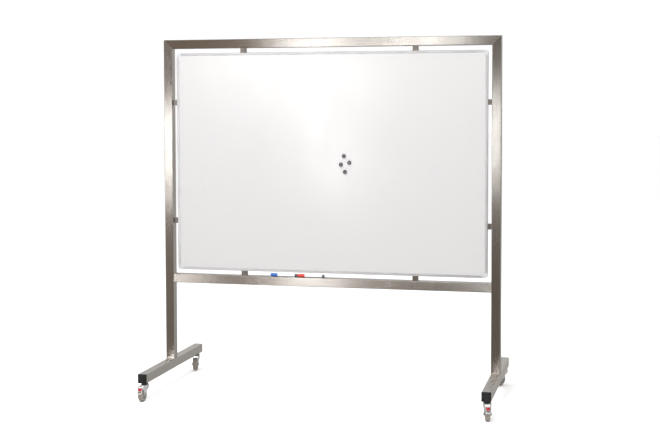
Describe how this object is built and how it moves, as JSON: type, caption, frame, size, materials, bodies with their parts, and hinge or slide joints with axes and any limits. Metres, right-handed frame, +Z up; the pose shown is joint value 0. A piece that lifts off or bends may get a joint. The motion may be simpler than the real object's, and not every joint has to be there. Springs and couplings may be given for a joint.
{
  "type": "rolling whiteboard",
  "caption": "Free-standing whiteboard held by lugs in a square-tube steel frame on T-feet with swivel castors; the front castors have brake pedals.",
  "frame": {"origin": "On the floor under the middle of the object's box; the posts' centreline stands 24 mm behind it because the front castors reach forward.", "axes": "+Z up; -Y is the front, the way the writing surface faces; +X to the right when looking at the front."},
  "size_m": [1.904, 0.9478, 1.96],
  "materials": {
    "stainless_tube": "satin",
    "weld": "satin",
    "black_plastic": "matte",
    "enamel": "gloss",
    "core": "matte",
    "zinc_sheet": "satin",
    "aluminium_profile": "satin",
    "grey_plastic": "satin",
    "lug_steel": "satin",
    "plated_screw": "satin",
    "plated_stem": "satin",
    "dark_ring": "satin",
    "bright_fork": "gloss",
    "plated_axle": "satin",
    "wheel_grey": "satin",
    "tyre_rubber": "matte",
    "pedal_white": "gloss",
    "tab_red": "gloss",
    "magnet_dark": "satin",
    "marker_white": "gloss",
    "marker_blue": "gloss",
    "marker_red": "gloss",
    "marker_dark": "satin"
  },
  "bodies": {
    "frame": {"left_post": "stainless_tube", "right_post": "stainless_tube", "top_rail": "stainless_tube", "lower_rail": "stainless_tube", "left_foot": "stainless_tube", "right_foot": "stainless_tube", "frame_welds": "weld", "end_cap_front_left": "black_plastic", "end_cap_front_right": "black_plastic", "end_cap_rear_left": "black_plastic", "end_cap_rear_right": "black_plastic", "writing_sheet": "enamel", "board_core": "core", "back_sheet": "zinc_sheet", "board_frame_top": "aluminium_profile", "board_frame_bottom": "aluminium_profile", "board_frame_left": "aluminium_profile", "board_frame_right": "aluminium_profile", "board_corners": "grey_plastic", "board_lugs": "lug_steel", "lug_screws": "plated_screw", "castor_nuts": "plated_screw", "castor_front_left_stem": "plated_stem", "castor_front_left_bearing": "dark_ring", "castor_front_right_stem": "plated_stem", "castor_front_right_bearing": "dark_ring", "castor_rear_left_stem": "plated_stem", "castor_rear_left_bearing": "dark_ring", "castor_rear_right_stem": "plated_stem", "castor_rear_right_bearing": "dark_ring"},
    "castor_front_left": {"castor_front_left_fork": "bright_fork", "castor_front_left_axle": "plated_axle"},
    "wheel_front_left": {"castor_front_left_wheel_centre": "wheel_grey", "castor_front_left_tyre": "tyre_rubber"},
    "brake_front_left": {"brake_pedal_front_left": "pedal_white", "brake_tab_front_left": "tab_red"},
    "castor_front_right": {"castor_front_right_fork": "bright_fork", "castor_front_right_axle": "plated_axle"},
    "wheel_front_right": {"castor_front_right_wheel_centre": "wheel_grey", "castor_front_right_tyre": "tyre_rubber"},
    "brake_front_right": {"brake_pedal_front_right": "pedal_white", "brake_tab_front_right": "tab_red"},
    "castor_rear_left": {"castor_rear_left_fork": "bright_fork", "castor_rear_left_axle": "plated_axle"},
    "wheel_rear_left": {"castor_rear_left_wheel_centre": "wheel_grey", "castor_rear_left_tyre": "tyre_rubber"},
    "castor_rear_right": {"castor_rear_right_fork": "bright_fork", "castor_rear_right_axle": "plated_axle"},
    "wheel_rear_right": {"castor_rear_right_wheel_centre": "wheel_grey", "castor_rear_right_tyre": "tyre_rubber"},
    "magnet_one": {"magnet_one": "magnet_dark"},
    "magnet_two": {"magnet_two": "magnet_dark"},
    "magnet_three": {"magnet_three": "magnet_dark"},
    "magnet_four": {"magnet_four": "magnet_dark"},
    "blue_marker": {"blue_marker_barrel": "marker_white", "blue_marker_plug": "marker_dark"},
    "blue_cap": {"blue_marker_cap": "marker_blue"},
    "red_marker": {"red_marker_barrel": "marker_white", "red_marker_plug": "marker_dark"},
    "red_cap": {"red_marker_cap": "marker_red"}
  },
  "joints": [
    {"name": "castor_front_left_swivel", "type": "hinge", "parent": "frame", "child": "castor_front_left", "pos_m": [-0.925, -0.386, 0.087], "axis": [0, 0, 1], "continuous": true},
    {"name": "wheel_front_left_spin", "type": "hinge", "parent": "castor_front_left", "child": "wheel_front_left", "pos_m": [-0.92619, -0.41998, 0.0375], "axis": [0.9994, -0.0349, 0], "continuous": true},
    {"name": "brake_front_left_release", "type": "hinge", "parent": "castor_front_left", "child": "brake_front_left", "pos_m": [-0.92688, -0.43997, 0.078], "axis": [-0.9994, 0.0349, 0], "range_deg": [0, 15]},
    {"name": "castor_front_right_swivel", "type": "hinge", "parent": "frame", "child": "castor_front_right", "pos_m": [0.925, -0.386, 0.087], "axis": [0, 0, 1], "continuous": true},
    {"name": "wheel_front_right_spin", "type": "hinge", "parent": "castor_front_right", "child": "wheel_front_right", "pos_m": [0.93149, -0.41937, 0.0375], "axis": [0.9816, 0.1908, 0], "continuous": true},
    {"name": "brake_front_right_release", "type": "hinge", "parent": "castor_front_right", "child": "brake_front_right", "pos_m": [0.9353, -0.43901, 0.078], "axis": [-0.9816, -0.1908, 0], "range_deg": [0, 15]},
    {"name": "castor_rear_left_swivel", "type": "hinge", "parent": "frame", "child": "castor_rear_left", "pos_m": [-0.925, 0.434, 0.087], "axis": [0, 0, 1], "continuous": true},
    {"name": "wheel_rear_left_spin", "type": "hinge", "parent": "castor_rear_left", "child": "wheel_rear_left", "pos_m": [-0.91851, 0.40063, 0.0375], "axis": [0.9816, 0.1908, 0], "continuous": true},
    {"name": "castor_rear_right_swivel", "type": "hinge", "parent": "frame", "child": "castor_rear_right", "pos_m": [0.925, 0.434, 0.087], "axis": [0, 0, 1], "continuous": true},
    {"name": "wheel_rear_right_spin", "type": "hinge", "parent": "castor_rear_right", "child": "wheel_rear_right", "pos_m": [0.90698, 0.40517, 0.0375], "axis": [0.848, -0.5299, 0], "continuous": true},
    {"name": "magnet_one_pull_off", "type": "slide", "parent": "frame", "child": "magnet_one", "axis": [0, -1, 0], "range_m": [0, 0.05]},
    {"name": "magnet_two_pull_off", "type": "slide", "parent": "frame", "child": "magnet_two", "axis": [0, -1, 0], "range_m": [0, 0.05]},
    {"name": "magnet_three_pull_off", "type": "slide", "parent": "frame", "child": "magnet_three", "axis": [0, -1, 0], "range_m": [0, 0.05]},
    {"name": "magnet_four_pull_off", "type": "slide", "parent": "frame", "child": "magnet_four", "axis": [0, -1, 0], "range_m": [0, 0.05]},
    {"name": "blue_marker_take_off", "type": "slide", "parent": "frame", "child": "blue_marker", "axis": [0, -1, 0], "range_m": [0, 0.08]},
    {"name": "blue_cap_pull_off", "type": "slide", "parent": "blue_marker", "child": "blue_cap", "axis": [-1, 0, 0], "range_m": [0, 0.05]},
    {"name": "red_marker_take_off", "type": "slide", "parent": "frame", "child": "red_cap", "axis": [0, -1, 0], "range_m": [0, 0.08]},
    {"name": "red_barrel_pull_out", "type": "slide", "parent": "red_cap", "child": "red_marker", "axis": [1, 0, 0], "range_m": [0, 0.05]}
  ]
}
